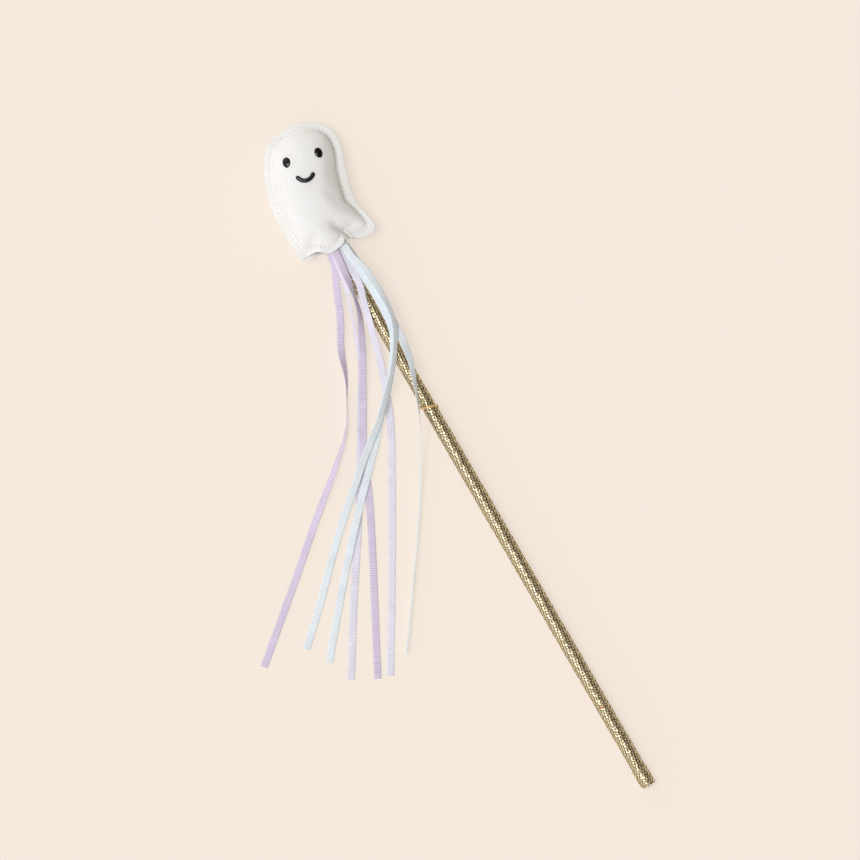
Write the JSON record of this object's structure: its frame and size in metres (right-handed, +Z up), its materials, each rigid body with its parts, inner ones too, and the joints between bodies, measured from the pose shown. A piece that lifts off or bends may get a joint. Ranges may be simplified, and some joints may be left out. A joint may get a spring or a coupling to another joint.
{
  "type": "toy wand",
  "caption": "Toy magic wand: a stuffed white felt ghost with a sewn margin and a plain smile on a stick wound with gold cord, with narrow grosgrain ribbons tied under its hem.",
  "frame": {"origin": "On the table, under the middle of the wand's length and width, with the free ribbons left out", "axes": "The stick runs along Y with the head towards +Y, +Z is up from the table towards the ghost's face, +X is to the right of the face"},
  "size_m": [0.1329, 0.3002, 0.0179],
  "materials": {
    "birch": "sanded, unvarnished",
    "gold_cord": "metallic gold cord, tightly wound",
    "copper_strand": "metallic copper thread",
    "white_felt": "smooth pressed felt, faint pearl",
    "fibre_fill": "loose polyester fibre",
    "white_thread": "sewing thread",
    "black_paint": "raised glossy fabric paint",
    "lilac_ribbon": "polyester grosgrain",
    "pale_lilac_ribbon": "polyester grosgrain",
    "pale_blue_ribbon": "polyester grosgrain"
  },
  "bodies": {
    "wand": {"dowel": "birch", "winding_lower": "gold_cord", "winding_upper": "gold_cord", "winding_end": "gold_cord", "splice_strand": "copper_strand", "head_front": "white_felt", "head_back": "white_felt", "stuffing": "fibre_fill", "front_stitches": "white_thread", "back_stitches": "white_thread", "eye_left": "black_paint", "eye_right": "black_paint", "mouth": "black_paint", "ribbon_roots": "pale_lilac_ribbon", "ribbon_tie": "white_thread"},
    "lilac_left": {"ribbon_lilac_left": "lilac_ribbon"},
    "lilac_middle": {"ribbon_lilac_middle": "lilac_ribbon"},
    "pale_left": {"ribbon_pale_left": "pale_lilac_ribbon"},
    "pale_right": {"ribbon_pale_right": "pale_lilac_ribbon"},
    "blue_upper": {"ribbon_blue_upper": "pale_blue_ribbon"},
    "blue_lower": {"ribbon_blue_lower": "pale_blue_ribbon"},
    "blue_right": {"ribbon_blue_right": "pale_blue_ribbon"}
  },
  "joints": [
    {"name": "fan_lilac_left", "type": "hinge", "parent": "wand", "child": "lilac_left", "pos_m": [-0.00694, 0.09853, 0.0106], "axis": [0, 0, -1], "range_deg": [0, 25]},
    {"name": "fan_blue_upper", "type": "hinge", "parent": "wand", "child": "blue_upper", "pos_m": [-0.00034, 0.09853, 0.0116], "axis": [0, 0, -1], "range_deg": [0, 20]},
    {"name": "fan_blue_lower", "type": "hinge", "parent": "wand", "child": "blue_lower", "pos_m": [-0.00084, 0.09853, 0.0111], "axis": [0, 0, -1], "range_deg": [0, 17.5]},
    {"name": "fan_pale_left", "type": "hinge", "parent": "wand", "child": "pale_left", "pos_m": [-0.00534, 0.09853, 0.0111], "axis": [0, 0, -1], "range_deg": [0, 15]},
    {"name": "fan_lilac_middle", "type": "hinge", "parent": "wand", "child": "lilac_middle", "pos_m": [-0.00464, 0.09853, 0.0116], "axis": [0, 0, -1], "range_deg": [0, 12.5]},
    {"name": "fan_pale_right", "type": "hinge", "parent": "wand", "child": "pale_right", "pos_m": [-0.00253, 0.09853, 0.0106], "axis": [0, 0, -1], "range_deg": [0, 10]},
    {"name": "fan_blue_right", "type": "hinge", "parent": "wand", "child": "blue_right", "pos_m": [-0.00003, 0.09853, 0.00995], "axis": [0, 0, -1], "range_deg": [0, 5]}
  ],
  "couplings": [
    {"joint": "fan_blue_upper", "follows": "fan_lilac_left", "ratio": 0.8},
    {"joint": "fan_blue_lower", "follows": "fan_lilac_left", "ratio": 0.7},
    {"joint": "fan_pale_left", "follows": "fan_lilac_left", "ratio": 0.6},
    {"joint": "fan_lilac_middle", "follows": "fan_lilac_left", "ratio": 0.5},
    {"joint": "fan_pale_right", "follows": "fan_lilac_left", "ratio": 0.4},
    {"joint": "fan_blue_right", "follows": "fan_lilac_left", "ratio": 0.2}
  ]
}
